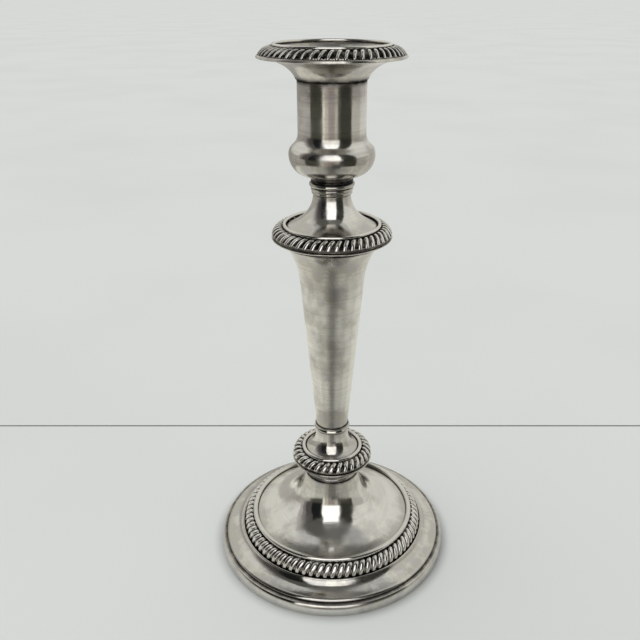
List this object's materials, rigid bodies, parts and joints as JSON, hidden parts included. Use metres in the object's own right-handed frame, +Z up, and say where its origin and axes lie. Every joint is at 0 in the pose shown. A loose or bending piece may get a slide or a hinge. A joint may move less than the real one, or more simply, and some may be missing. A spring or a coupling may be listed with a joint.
{
  "type": "candlestick",
  "caption": "Gadrooned silver table candlestick with a domed round base, tapered column, urn-shaped socket and a lift-off nozzle for a dinner candle.",
  "frame": {"origin": "centre of the underside of the base, on the table", "axes": "+Z up along the column's axis; the object is round about Z, and +X is to the right as the picture shows it"},
  "size_m": [0.1382, 0.1382, 0.2909],
  "materials": {
    "silver": "polished",
    "silver_border": "polished",
    "silver_inside": "satin",
    "steel": "satin",
    "pitch": "matte",
    "tinplate": "satin",
    "baize": "matte"
  },
  "bodies": {
    "stick": {"candle_socket": "silver", "socket_foot": "silver", "neck_bead": "silver", "neck_collar": "silver", "shoulder_dish": "silver", "shoulder_underplate": "silver", "column_shell": "silver", "column_foot_ring": "silver", "knop_dish": "silver", "knop_underplate": "silver", "knop_collar": "silver", "foot_dome": "silver", "base_moulding": "silver", "base_foot_ring": "silver", "shoulder_gadroon_border": "silver_border", "knop_gadroon_border": "silver_border", "base_gadroon_border": "silver_border", "socket_liner": "silver_inside", "tie_rod": "steel", "top_rod_washer": "steel", "top_rod_nut": "steel", "base_rod_washer": "steel", "base_rod_nut": "steel", "column_fill": "pitch", "weight_fill": "pitch", "closing_plate": "tinplate", "felt_pad": "baize"},
    "nozzle": {"nozzle_tube": "silver_inside", "nozzle_pan": "silver", "nozzle_gadroon_border": "silver_border", "nozzle_skirt": "silver"}
  },
  "joints": [
    {"name": "nozzle_lift", "type": "slide", "parent": "stick", "child": "nozzle", "axis": [0, 0, 1], "range_m": [0, 0.04]}
  ]
}
